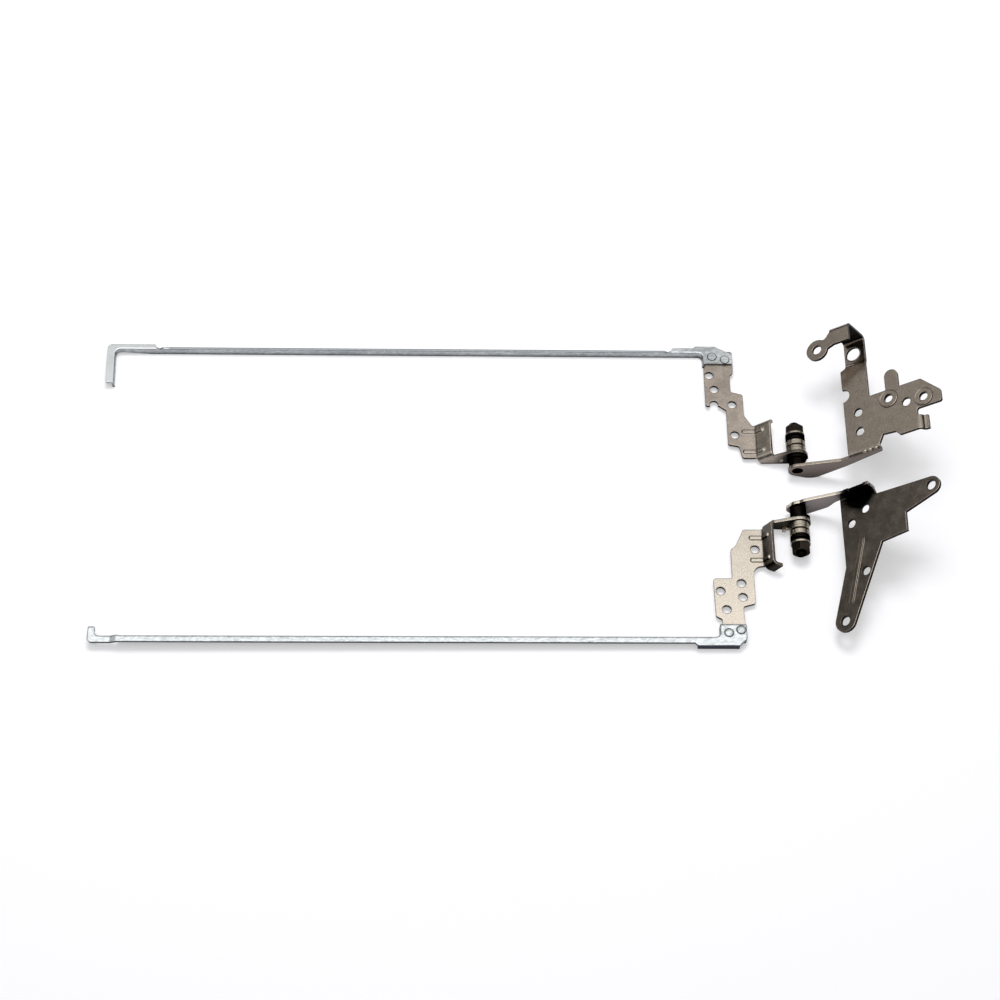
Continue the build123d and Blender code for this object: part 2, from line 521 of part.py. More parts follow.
def left_base_bracket():
    """Plate with a winged eye, a beaded leg that ends in an eye, and an arm folded up to the shaft."""
    top = -LEFT_DROP
    under = top - SHEET
    inside = SHEET + BASE_BEND
    arm_low = top + BASE_BEND
    fold_end = LEFT_PLATE_X + LEFT_FOLD_LENGTH

    plan = outline((LEFT_PLATE_X, inside), (fold_end, inside), LEFT_WING_ROOT, LEFT_WING_NECK, LEFT_SHELF,
                   LEFT_CROTCH, (LEFT_PLATE_X, LEFT_HIP_Y))
    wing = (LEFT_WING_EYE, LEFT_WING_EYE_R)
    plan += outline(LEFT_WING_ROOT, touch(LEFT_WING_ROOT, wing[1], -1, wing[0]), LEFT_WING_EYE,
                    touch(LEFT_WING_NECK, wing[1], 1, wing[0]), LEFT_WING_NECK)
    plan += Pos(*LEFT_WING_EYE) * Circle(LEFT_WING_EYE_R)
    hip = (LEFT_PLATE_X, LEFT_HIP_Y)
    leg = (LEFT_LEG_EYE, LEFT_LEG_EYE_R)
    plan += outline(hip, LEFT_CROTCH, touch(LEFT_CROTCH, leg[1], -1, leg[0]), LEFT_LEG_EYE,
                    touch(hip, leg[1], 1, leg[0]))
    plan += Pos(*LEFT_LEG_EYE) * Circle(LEFT_LEG_EYE_R)
    bracket = along_z(plan, under, top)

    fold = folded(SHEET, BASE_BEND, (0, arm_low + BASE_BEND), (0, under), (inside + SHEET, under))
    bracket += along_x(fold, LEFT_PLATE_X, fold_end)

    arm_top = top + LEFT_ARM_TOP
    tilt = radians(LEFT_TILT)
    heel_x = LEFT_HEEL_R - LEFT_ARM_END
    heel = (heel_x, (LEFT_HEEL_R - AXIS_HEIGHT - heel_x * sin(tilt)) / cos(tilt))
    arm = outline(
        (-LEFT_ARM_END, LEFT_ARM_UPPER, LEFT_ARM_CORNER), (LEFT_ARM_CREST, LEFT_ARM_UPPER, LEFT_ARM_CORNER),
        (LEFT_ARM_KINK, arm_top), (fold_end, arm_top, 2 * BEND), (fold_end, arm_low), (LEFT_PLATE_X, arm_low),
        (LEFT_PLATE_X - 2 * SHEET, top), LEFT_ARM_SHOULDER,
        touch(LEFT_ARM_SHOULDER, LEFT_HEEL_R, 1, heel), heel, (-LEFT_ARM_END, heel[1]))
    arm += Pos(*heel) * Circle(LEFT_HEEL_R)
    for x in LEFT_NUBS:
        arm += Pos(x, arm_top) * Rectangle(NUB_WIDTH, 2 * NUB_HEIGHT)
    bracket += along_y(arm, 0, SHEET)

    (x0, y0), (x1, y1) = LEFT_BEAD
    length = hypot(x1 - x0, y1 - y0)
    slot = SlotCenterToCenter(length, BEAD_WIDTH)
    place = Pos((x0 + x1) / 2, (y0 + y1) / 2) * Rot(0, 0, atan2(y1 - y0, x1 - x0) * 180 / 3.141592653589793)
    bead = along_z(place * slot, under, top + BEAD_HEIGHT)
    bracket += chamfer(bead.faces().sort_by(Axis.Z)[-1].edges(), BEAD_HEIGHT * 0.8)

    bracket -= drill(LEFT_PLAIN_HOLES, BASE_HOLE, under, top + SHEET)
    bracket -= drill((LEFT_WING_EYE, LEFT_LEG_EYE), LEFT_EYE_HOLE, under, top + SHEET)
    return bracket - round_bar(STAKE + 2 * KEY_GAP, 0, SHEET)


def ridge(length):
    """Low bead with sloping sides along x, pressed up from the sheet below z = 0."""
    half = RIB_WIDTH / 2
    tip = length - half / 2
    plan = outline((-SHEET, -half), (tip, -half), (length, -half / 2), (length, half / 2), (tip, half),
                   (-SHEET, half))
    bead = along_z(plan, -SHEET / 2, RIB_HEIGHT)
    return chamfer(bead.faces().sort_by(Axis.Z)[-1].edges(), RIB_HEIGHT * 0.9)


def flange_and_ear(at, turn_x, slope, length, end_y, lip, plate_ends, ribs):
    """Flange turned up from the display plate, its lip, its ribs, and the ear that runs to the shaft."""
    rise = radians(slope)
    start = (BEND + SHEET) * tan(rise / 2)
    knee = (turn_x, PLATE_UNDER)

    def under_flange(along, drop):
        return knee[0] + along * cos(rise) + drop * sin(rise), knee[1] + along * sin(rise) - drop * cos(rise)

    near = at["ear"] + SHEET + BEND
    far = end_y - SHEET - BEND
    plate = (turn_x - RIB_PLATE, PLATE_UNDER)
    part = along_y(folded(SHEET, BEND, plate, knee, under_flange(length, 0)), near, far)
    turn = folded(SHEET, BEND, plate, knee, under_flange(start * 1.01, 0))
    part += along_y(turn, near - plate_ends[0], far + plate_ends[1])

    ahead = (cos(rise), 0, sin(rise))
    slope_plane = Plane(origin=(knee[0], 0, knee[1]), x_dir=(0, 1, 0), z_dir=ahead)
    channel = folded(SHEET, BEND, (end_y, -lip), (end_y, SHEET), (at["ear"], SHEET), (at["ear"], -2 * BEND))
    part += extrude(slope_plane.offset(start) * channel, amount=length - start)

    low = under_flange(start, 2 * BEND)
    high = under_flange(length, EAR_DROP)
    ear = outline(low, high, touch(high, EAR_R, 1), (0, 0), touch(low, EAR_R, -1)) + Circle(EAR_R)
    slot = Pos(*KEY_SLOT) * Rectangle(KEY_WIDTH + 2 * KEY_GAP, KEY_HEIGHT + 2 * KEY_GAP)
    part += along_y(ear, at["ear"], at["ear"] + SHEET)
    part -= along_y(slot, at["ear"], at["ear"] + SHEET)
    part -= round_bar(SHANK + 2 * RUN_GAP, at["ear"], at["ear"] + SHEET)

    inner_x = turn_x - SHEET * tan(rise / 2)
    for y in ribs:
        root = Pos(inner_x, y, PLATE_TOP)
        part += root * Rot(0, 0, 180) * ridge(RIB_PLATE)
        part += root * Rot(0, -slope, 0) * ridge(RIB_FLANGE)
    return part


def rounded(corners):
    """Corners of a display plate with their radius."""
    return [(x, y, BEND) for x, y in corners]


def right_display_bracket(at):
    """Stepped plate, flange and ear of the right hinge."""
    inside_web = RIGHT_PAD_X + RAIL_SHEET + FACE_GAP
    end = RIGHT_PAD_Y + RIGHT_PAD_DEPTH - RAIL_SHEET - BEND
    turn = RIGHT_FLANGE_X - SHEET
    near = at["ear"] + SHEET + BEND - RIGHT_PLATE_ENDS[0]
    far = RIGHT_FLANGE_END - SHEET - BEND + RIGHT_PLATE_ENDS[1]
    outer_x = RIGHT_DISPLAY_OUTER[0][0]
    plan = outline(
        (turn, near), (turn, far), (RIGHT_DISPLAY_INNER[0][0], far + RIGHT_SPLAY, FLANGE_CORNER),
        *rounded(RIGHT_DISPLAY_INNER),
        (RIGHT_DISPLAY_INNER[-1][0], end, BEND), (inside_web, end, BEND), (inside_web, RIGHT_PAD_Y - BEND),
        (outer_x, RIGHT_PAD_Y - 2 * BEND), *rounded(RIGHT_DISPLAY_OUTER), (RIGHT_DISPLAY_FOOT, near, BEND))
    plan -= Pos(*RIGHT_DISPLAY_NOTCH) * Circle(RIGHT_DISPLAY_NOTCH_R)
    bracket = along_z(plan, PLATE_UNDER, PLATE_TOP)
    bracket += flange_and_ear(at, RIGHT_FLANGE_X, RIGHT_FLANGE_SLOPE, RIGHT_FLANGE_LENGTH, RIGHT_FLANGE_END,
                              RIGHT_FLANGE_LIP, RIGHT_PLATE_ENDS, RIGHT_RIBS)
    bracket -= drill(RIGHT_DISPLAY_HOLES, SCREW_HOLE, PLATE_UNDER, PLATE_TOP)
    return bracket - drill(RIGHT_RIVETS, RIVET + 2 * KEY_GAP, PLATE_UNDER, PLATE_TOP)


def left_display_bracket(at):
    """Stepped plate, flange and ear of the left hinge."""
    end = LEFT_PAD_Y + LEFT_PAD_DEPTH - RAIL_SHEET - BEND
    turn = LEFT_FLANGE_X - SHEET
    near = at["ear"] + SHEET + BEND - LEFT_PLATE_ENDS[0]
    far = LEFT_FLANGE_END - SHEET - BEND + LEFT_PLATE_ENDS[1]
    plan = outline(
        (turn, near), (turn, far), (LEFT_DISPLAY_INNER[0][0], far + LEFT_SPLAY, FLANGE_CORNER),
        *rounded(LEFT_DISPLAY_INNER[:-1]),
        (LEFT_DISPLAY_INNER[-1][0], end, BEND), (LEFT_DISPLAY_OUTER[0][0], end, BEND),
        *rounded(LEFT_DISPLAY_OUTER), (LEFT_DISPLAY_FOOT, near, BEND))
    bracket = along_z(plan, PLATE_UNDER, PLATE_TOP)
    bracket += flange_and_ear(at, LEFT_FLANGE_X, LEFT_FLANGE_SLOPE, LEFT_FLANGE_LENGTH, LEFT_FLANGE_END,
                              LEFT_FLANGE_LIP, LEFT_PLATE_ENDS, LEFT_RIBS)
    bracket -= drill(LEFT_DISPLAY_HOLES, SCREW_HOLE, PLATE_UNDER, PLATE_TOP)
    return bracket - drill(LEFT_RIVETS, RIVET + 2 * KEY_GAP, PLATE_UNDER, PLATE_TOP)


def rivets(places):
    """Flat-headed rivets through the pad and the plate."""
    low = PLATE_UNDER - RIVET_HEAD_HEIGHT
    group = []
    for x, y in places:
        rivet = along_z(Circle(RIVET / 2), PLATE_UNDER, RAIL_TOP)
        rivet += along_z(Circle(RIVET_HEAD / 2), RAIL_TOP, RAIL_TOP + RIVET_HEAD_HEIGHT)
        rivet += along_z(Circle(RIVET_HEAD / 2), low, PLATE_UNDER)
        group.append(Pos(x, y) * rivet)
    return group


def riveted(rail, places):
    """A rail with the holes and flat seats of its rivets."""
    rail -= drill(places, RIVET + 2 * KEY_GAP, PLATE_TOP, RAIL_TOP)
    return rail - drill(places, RIVET_HEAD + 2 * KEY_GAP, RAIL_TOP, RAIL_TOP + RIVET_HEAD_HEIGHT)


def soften(rail, web_y):
    """Rounds the folded edge between the top of a rail and its web."""
    def on_fold(edge):
        middle = edge.center()
        return abs(middle.Z - RAIL_TOP) < RAIL_BEND / 50 and abs(middle.Y - web_y) < RAIL_BEND / 50
    return fillet(rail.edges().filter_by(on_fold), RAIL_BEND)


def right_rail():
    """Web on edge, flanged at both ends, with a long hook at the far end and the riveted pad at the other."""
    pad_end = RIGHT_PAD_X + RIGHT_PAD_WIDTH
    far = pad_end - RIGHT_RAIL_LENGTH
    hook_in = far + RIGHT_RAIL_HOOK
    back = RIGHT_WEB_Y + RIGHT_RAIL_FLANGE
    leg_y = RIGHT_WEB_Y - RIGHT_RAIL_HOOK_LENGTH
    pad_back = RIGHT_PAD_Y + RIGHT_PAD_DEPTH
    under = RAIL_TOP - RAIL_SHEET
    low = RAIL_TOP - WEB

    web_path = ((hook_in + RIGHT_RAIL_HOOK_LEAN, leg_y), (hook_in, RIGHT_WEB_Y), (RIGHT_PAD_X, RIGHT_WEB_Y),
                (RIGHT_PAD_X, RIGHT_PAD_Y))
    rail = along_z(folded(RAIL_SHEET, RAIL_CORNER, *web_path), low, RAIL_TOP)
    hook_flange = outline(
        (hook_in + RIGHT_RAIL_HOOK_LEAN, leg_y), (hook_in, RIGHT_WEB_Y, RAIL_CORNER),
        (far + RIGHT_HOOK_FLANGE, RIGHT_WEB_Y), (far + RIGHT_HOOK_FLANGE, back, RAIL_BEND),
        (far, back, RAIL_CORNER), (far + RIGHT_RAIL_HOOK_LEAN, leg_y, RAIL_BEND))
    lip_end = RIGHT_PAD_LIP_X + RIGHT_PAD_LIP
    pad_flange = outline(
        (RIGHT_PAD_X - RIGHT_PAD_FLANGE, RIGHT_WEB_Y), (RIGHT_PAD_X, RIGHT_WEB_Y, RAIL_CORNER),
        (RIGHT_PAD_X, RIGHT_PAD_Y), (pad_end, RIGHT_PAD_Y, RAIL_BEND),
        (pad_end, RIGHT_WEB_Y - RAIL_BEND, RAIL_BEND), (lip_end, pad_back), (RIGHT_PAD_LIP_X, pad_back),
        (RIGHT_PAD_LIP_X - RAIL_SHEET, back), (RIGHT_PAD_X - RIGHT_PAD_FLANGE, back, RAIL_BEND))
    rail += along_z(hook_flange, under, RAIL_TOP)
    rail += along_z(pad_flange, under, RAIL_TOP)
    lip = folded(RAIL_SHEET, RAIL_BEND, (pad_back, low), (pad_back, RAIL_TOP), (back - RAIL_SHEET, RAIL_TOP))
    rail += along_x(lip, RIGHT_PAD_LIP_X, lip_end)

    hook_low = RAIL_TOP - RIGHT_HOOK_WEB
    ramp_start = hook_in + RIGHT_RAIL_HOOK
    relief = outline((far, low), (far, hook_low), (ramp_start, hook_low), (ramp_start + RIGHT_WEB_RAMP, low))
    rail -= along_y(relief, leg_y, back)
    for x in (far + RIGHT_HOOK_FLANGE + FLANGE_NOTCH / 2, RIGHT_PAD_X - RIGHT_PAD_FLANGE - FLANGE_NOTCH / 2):
        notch = outline((x - FLANGE_NOTCH / 2, RAIL_TOP), (x, RAIL_TOP - FLANGE_NOTCH_DEPTH),
                        (x + FLANGE_NOTCH / 2, RAIL_TOP))
        rail -= along_y(notch, RIGHT_WEB_Y, RIGHT_WEB_Y + RAIL_SHEET)
    rail = soften(rail, RIGHT_WEB_Y)
    corner = Pos(RIGHT_PAD_X, RIGHT_WEB_Y)
    rail = corner * Rot(0, 0, -RIGHT_RAIL_TURN) * Pos(-RIGHT_PAD_X, -RIGHT_WEB_Y) * rail
    return riveted(rail, RIGHT_RIVETS)


def left_rail():
    """Angle strip with a joggled short hook at the far end and a lipped riveted pad at the other."""
    pad_end = LEFT_PAD_X + LEFT_PAD_WIDTH
    far = pad_end - LEFT_RAIL_LENGTH
    back = LEFT_WEB_Y + LEFT_RAIL_FLANGE
    pad_back = LEFT_PAD_Y + LEFT_PAD_DEPTH
    under = RAIL_TOP - RAIL_SHEET
    joggle = far + LEFT_JOGGLE_X
    straight = joggle + 3 * LEFT_JOGGLE

    web_path = ((straight, LEFT_WEB_Y), (LEFT_PAD_X, LEFT_WEB_Y), (LEFT_PAD_X, LEFT_PAD_Y))
    rail = along_z(folded(RAIL_SHEET, RAIL_CORNER, *web_path), RAIL_TOP - WEB, RAIL_TOP)
    lip_end = pad_end - LEFT_LIP_CORNER
    lip_start = lip_end - LEFT_LIP_LENGTH
    flange = outline(
        (straight, LEFT_WEB_Y), (LEFT_PAD_X, LEFT_WEB_Y, RAIL_CORNER), (LEFT_PAD_X, LEFT_PAD_Y),
        (pad_end, LEFT_PAD_Y, RAIL_BEND), (pad_end, pad_back - LEFT_LIP_CORNER, RAIL_BEND), (lip_end, pad_back),
        (lip_start, pad_back), (lip_start - (pad_back - back), back), (straight, back))
    rail += along_z(flange, under, RAIL_TOP)
    lip = folded(RAIL_SHEET, RAIL_BEND, (pad_back, RAIL_TOP - LEFT_LIP), (pad_back, RAIL_TOP),
                 (back - RAIL_SHEET, RAIL_TOP))
    rail += along_x(lip, lip_start, lip_end)
    rail = soften(rail, LEFT_WEB_Y)

    tail = folded(
        RAIL_SHEET, RAIL_BEND, (far + LEFT_RAIL_HOOK, under - LEFT_JOGGLE), (joggle, under - LEFT_JOGGLE),
        (straight, under), (straight + LEFT_JOGGLE, under))
    rail += along_y(tail, LEFT_WEB_Y, back)
    hook_y = LEFT_WEB_Y - LEFT_RAIL_HOOK_LENGTH
    neck = far + 2 * LEFT_RAIL_HOOK
    hook = outline((far, back, RAIL_CORNER), (far, hook_y, RAIL_BEND), (far + LEFT_RAIL_HOOK, hook_y, RAIL_BEND),
                   (far + LEFT_RAIL_HOOK, LEFT_WEB_Y, RAIL_CORNER), (neck, LEFT_WEB_Y), (neck, back))
    rail += along_z(hook, under - LEFT_JOGGLE, RAIL_TOP - LEFT_JOGGLE)
    foot = Pos(pad_end, 0, under)
    rail = foot * Rot(0, LEFT_RAIL_LIFT, 0) * Pos(-pad_end, 0, -under) * rail
    return riveted(rail, LEFT_RIVETS)


def barrel(at):
    """Pieces that turn with the base bracket, and the friction plate that stays with the ear."""
    turning = {
        "hinge_shaft": hinge_shaft(at), "stop_washer": stop_washer(at), "friction_washers": friction_washers(at),
        "pressure_washer": pressure_washer(at), "spring_washers": spring_washers(at),
        "nut_washer": nut_washer(at), "lock_nut": lock_nut(at)}
    return turning, {"friction_plate": friction_plate(at)}


def hinge(side, at, tilt, base_bracket, display_bracket, rail, rivet_places):
    """All nodes of one hinge in hinge axes, with the base side turned to its opening angle."""
    turning, still = barrel(at)
    turning["base_bracket"] = base_bracket()
    still["display_bracket"] = display_bracket(at)
    still["display_rail"] = rail
    still["rail_rivets"] = rivets(rivet_places)
    nodes = {}
    for name, shape in turning.items():
        nodes[f"{side}_{name}"] = [Rot(0, -tilt, 0) * s for s in as_list(shape)]
    for name, shape in still.items():
        nodes[f"{side}_{name}"] = as_list(shape)
    return nodes


def as_list(shape):
    """A node's solids as a list."""
    return shape if isinstance(shape, list) else [shape]


def build():
    """Both hinges on the table, with the origin at the middle of the pair's footprint."""
    right = hinge("right", stack(RIGHT_EAR_Y, RIGHT_TIP), RIGHT_TILT, right_base_bracket, right_display_bracket,
                  right_rail(), RIGHT_RIVETS)
    left = hinge("left", stack(LEFT_EAR_Y, LEFT_TIP), LEFT_TILT, left_base_bracket, left_display_bracket,
                 left_rail(), LEFT_RIVETS)

    placed = {}
    for name, solids in right.items():
        placed[name] = [Pos(RIGHT_LEAD, ARM_SPACING / 2, AXIS_HEIGHT) * s for s in solids]
    for name, solids in left.items():
        placed[name] = [Pos(0, -ARM_SPACING / 2, AXIS_HEIGHT) * mirror(s, about=Plane.XZ) for s in solids]

    box = Compound([s for solids in placed.values() for shape in solids for s in shape.solids()]).bounding_box()
    centre = box.center()
    home = Pos(-centre.X, -centre.Y, -box.min.Z)
    print("shaft axes: right", RIGHT_LEAD - centre.X, "left", -centre.X, "height", AXIS_HEIGHT - box.min.Z)
    print("arm faces: right", ARM_SPACING / 2 - centre.Y, "left", -ARM_SPACING / 2 - centre.Y)
    print("size", box.size)
    return {name: [home * s for shape in solids for s in shape.solids()] for name, solids in placed.items()}


os.makedirs("parts", exist_ok=True)
for node, solids in build().items():
    export_step(Compound(solids) if len(solids) > 1 else solids[0], f"parts/{node}.step")
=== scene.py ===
"""Looks of a pair of laptop hinges that lie opened on a white table, seen from the front and above."""

import logging
import math
from dataclasses import dataclass, field, replace
from enum import Enum
from typing import Callable

import bpy
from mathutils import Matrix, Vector


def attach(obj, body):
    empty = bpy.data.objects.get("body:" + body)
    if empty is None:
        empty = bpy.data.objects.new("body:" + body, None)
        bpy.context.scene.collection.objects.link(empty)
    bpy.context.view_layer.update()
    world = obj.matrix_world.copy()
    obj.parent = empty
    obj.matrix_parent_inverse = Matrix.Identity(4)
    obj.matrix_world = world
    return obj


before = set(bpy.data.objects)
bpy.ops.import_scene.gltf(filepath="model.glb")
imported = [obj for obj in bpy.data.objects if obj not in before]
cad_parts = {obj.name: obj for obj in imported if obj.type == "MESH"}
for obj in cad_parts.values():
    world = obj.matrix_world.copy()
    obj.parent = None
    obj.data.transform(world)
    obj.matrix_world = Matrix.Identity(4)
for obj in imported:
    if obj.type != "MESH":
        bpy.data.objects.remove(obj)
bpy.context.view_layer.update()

MM = 0.001
log = logging.getLogger("hinge_pair")


class Side(Enum):
    """The two hinges of the pair."""

    RIGHT = "right"
    LEFT = "left"


Triple = tuple[float, float, float]
UP_X, UP_Y, UP_Z = (1.0, 0.0, 0.0), (0.0, 1.0, 0.0), (0.0, 0.0, 1.0)


class Body(Enum):
    """The bodies that pieces ride on."""

    DISPLAY = "display_sides"
    RIGHT_BASE = "right_base"
    LEFT_BASE = "left_base"


def linear(code: str) -> tuple[float, float, float, float]:
    """Turns an sRGB hex colour to linear RGBA.

    Args:
        code: Six hex digits, such as "D8CDB8".

    Returns:
        The colour with an alpha of 1.
    """
    parts = []
    for start in (0, 2, 4):
        value = int(code[start:start + 2], 16) / 255
        parts.append(value / 12.92 if value <= 0.04045 else ((value + 0.055) / 1.055) ** 2.4)
    return parts[0], parts[1], parts[2], 1.0


def per_mm(size: float) -> float:
    """Scale of a noise whose features are about this many millimetres wide."""
    return 1.0 / (size * MM)


def add(tree: bpy.types.NodeTree, kind: str, links: dict | None = None, stops: tuple = (),
        **settings: object) -> bpy.types.Node:
    """Adds a node to a tree, with its settings and what feeds its sockets.

    Args:
        tree: The tree that gets the node.
        kind: The node's type name.
        links: Socket name or number to an output socket or a plain value.
        stops: Position and linear colour of each stop, where the node holds a row of colours.
        settings: Properties of the node itself.

    Returns:
        The new node.
    """
    node = tree.nodes.new(kind)
    for name, value in settings.items():
        setattr(node, name, value)
    if stops:
        bands = node.color_ramp.elements
        while len(bands) < len(stops):
            bands.new(1.0)
        for band, (position, colour) in zip(bands, stops):
            band.position, band.color = position, colour
    for socket, value in (links or {}).items():
        if isinstance(value, bpy.types.NodeSocket):
            tree.links.new(value, node.inputs[socket])
        else:
            node.inputs[socket].default_value = value
    return node


def grey(value: float) -> tuple[float, float, float, float]:
    """A linear grey."""
    return value, value, value, 1.0


@dataclass(frozen=True)
class Zone:
    """Faces of a sheet whose colour is painted light, such as painted shade on its sheared sides.

    A face counts by how squarely it faces a direction, up to the second limit, and only within half_mm of centre_mm,
    measured along another direction. The limits as given choose the sides of a sheet that faces the direction.
    """

    facing: Triple
    along: Triple
    centre_mm: float
    half_mm: float
    colour: str
    limits: tuple[float, float] = (0.75, 0.45)


@dataclass(frozen=True)
class PaintedShade:
    """Painted shade round a point, darkest near it: share of the colour left at each distance.

    It lies only on what faces a direction.
    """

    at_mm: Triple
    stops_mm: tuple[tuple[float, float], ...]
    facing: Triple


@dataclass(frozen=True)
class PlatedSteel:
    """A plated or blackened steel surface.

    The sheet is cold rolled, so it has a fine directionless grain and faint cloudy patches where the plating is
    thinner. Its colour also carries painted light: a painted highlight along the edges, painted shade and painted
    highlights on zones such as the sheared sides, painted shade in folds and crevices, and a patch of painted shade
    round a point. The real grain is finer than grain_mm: it is drawn this coarse so that it shows.
    """

    name: str
    colour: str
    cloud: str
    # Colour of the painted highlight along the edges.
    edge: str
    roughness: tuple[float, float] = (0.2, 0.3)
    grain_mm: float = 0.45
    grain_tone: tuple[float, float] = (0.74, 1.14)
    cloud_mm: float = 4.0
    grain_depth_mm: float = 0.012
    edge_mm: float = 0.35
    edge_highlight_gain: float = 0.4
    stretch: Triple = (1.0, 1.0, 1.0)
    crevice_mm: float = 3.0
    # Share of the colour left by the painted shade in crevices.
    crevice_shade: float = 0.06
    glint: float = 1.0
    zones: tuple[Zone, ...] = ()
    painted_shade: PaintedShade | None = None

    def material(self) -> bpy.types.Material:
        """Builds the material.

        Returns:
            A metal whose colour, roughness and normal come from its nodes.
        """
        made = bpy.data.materials.new(self.name)
        made.use_nodes = True
        tree = made.node_tree
        tree.nodes.clear()
        place = add(tree, "ShaderNodeTexCoord").outputs["Object"]
        drawn = add(tree, "ShaderNodeMapping", {"Vector": place, "Scale": self.stretch}).outputs["Vector"]
        clouds = add(tree, "ShaderNodeTexNoise", {"Vector": drawn, "Scale": per_mm(self.cloud_mm), "Detail": 4.0,
                                                  "Roughness": 0.6}).outputs["Fac"]
        grain = add(tree, "ShaderNodeTexNoise", {"Vector": drawn, "Scale": per_mm(self.grain_mm), "Detail": 3.0,
                                                 "Roughness": 0.7}).outputs["Fac"]
        patches = add(tree, "ShaderNodeValToRGB", {"Fac": clouds},
                      stops=((0.32, grey(0.0)), (0.68, grey(1.0)))).outputs["Color"]
        dark, light = self.grain_tone
        speckle = add(tree, "ShaderNodeValToRGB", {"Fac": grain},
                      stops=((0.3, grey(dark)), (0.7, grey(light)))).outputs["Color"]
        plain = add(tree, "ShaderNodeMix", {"Factor": patches, 6: linear(self.cloud), 7: linear(self.colour)},
                    data_type="RGBA").outputs[2]
        bevel = add(tree, "ShaderNodeBevel", {"Radius": self.edge_mm * MM}, samples=6).outputs["Normal"]
        flat = add(tree, "ShaderNodeNewGeometry").outputs["Normal"]
        facing = add(tree, "ShaderNodeVectorMath", {0: bevel, 1: flat}, operation="DOT_PRODUCT").outputs["Value"]
        # Painted highlight: near the edges, where the bevel normal turns away from the face, the colour is mixed
        # towards the edge colour.
        rim = add(tree, "ShaderNodeMapRange", {"Value": facing, "From Min": 0.995, "From Max": 0.85, "To Min": 0.0,
                                               "To Max": self.edge_highlight_gain}).outputs["Result"]
        grained = add(tree, "ShaderNodeMix", {"Factor": 1.0, 6: plain, 7: speckle}, data_type="RGBA",
                      blend_type="MULTIPLY").outputs[2]
        colour = add(tree, "ShaderNodeMix", {"Factor": rim, 6: grained, 7: linear(self.edge)},
                     data_type="RGBA").outputs[2]
        # Painted shade: ambient occlusion darkens the colour in folds, crevices and gaps between parts.
        open_sky = add(tree, "ShaderNodeAmbientOcclusion", {"Distance": self.crevice_mm * MM}, samples=8).outputs["AO"]
        shade = add(tree, "ShaderNodeValToRGB", {"Fac": open_sky},
                    stops=((0.4, grey(self.crevice_shade)), (0.78, grey(1.0)))).outputs["Color"]
        shaded = add(tree, "ShaderNodeMix", {"Factor": 1.0, 6: self.zoned(tree, colour, place), 7: shade},
                     data_type="RGBA", blend_type="MULTIPLY").outputs[2]
        colour = self.with_painted_shade(tree, shaded, place, clouds)
        low, high = self.roughness
        rough = add(tree, "ShaderNodeMapRange", {"Value": clouds, "From Min": 0.3, "From Max": 0.7, "To Min": low,
                                                 "To Max": high}).outputs["Result"]
        bump = add(tree, "ShaderNodeBump", {"Strength": 0.5, "Distance": self.grain_depth_mm * MM, "Height": grain,
                                            "Normal": bevel}).outputs["Normal"]
        metal = add(tree, "ShaderNodeBsdfPrincipled", {"Base Color": colour, "Roughness": rough, "Normal": bump,
                                                       "Metallic": 1.0, "Specular Tint": grey(self.glint)})
        add(tree, "ShaderNodeOutputMaterial", {"Surface": metal.outputs["BSDF"]})
        return made

    def with_painted_shade(self, tree: bpy.types.NodeTree, colour: bpy.types.NodeSocket, place: bpy.types.NodeSocket,
                clouds: bpy.types.NodeSocket) -> bpy.types.NodeSocket:
        """Lays the painted shade, with a wandering border, on the colour.

        Args:
            tree: The material's tree.
            colour: The colour without the painted shade.
            place: Where on the piece a point is.
            clouds: The noise that makes the border of the painted shade wander.

        Returns:
            The colour with the painted shade.
        """
        if self.painted_shade is None:
            return colour
        centre = Vector(self.painted_shade.at_mm) * MM
        far = add(tree, "ShaderNodeVectorMath", {0: place, 1: centre}, operation="DISTANCE").outputs["Value"]
        reach = self.painted_shade.stops_mm[-1][0]
        share = add(tree, "ShaderNodeMath", {0: far, 1: 1.0 / (reach * MM), 2: -0.08}, operation="MULTIPLY_ADD")
        wander = add(tree, "ShaderNodeMath", {0: clouds, 1: 0.16, 2: share.outputs["Value"]}, operation="MULTIPLY_ADD")
        patch_shade = add(tree, "ShaderNodeValToRGB", {"Fac": wander.outputs["Value"]},
                   stops=tuple((stop / reach, grey(left)) for stop, left in self.painted_shade.stops_mm)).outputs["Color"]
        normal = add(tree, "ShaderNodeTexCoord").outputs["Normal"]
        square = add(tree, "ShaderNodeVectorMath", {0: normal, 1: self.painted_shade.facing}, operation="DOT_PRODUCT")
        side = add(tree, "ShaderNodeMapRange", {"Value": square.outputs["Value"], "From Min": 0.0, "From Max": 0.4})
        return add(tree, "ShaderNodeMix", {"Factor": side.outputs["Result"], 6: colour, 7: patch_shade}, data_type="RGBA",
                   blend_type="MULTIPLY").outputs[2]

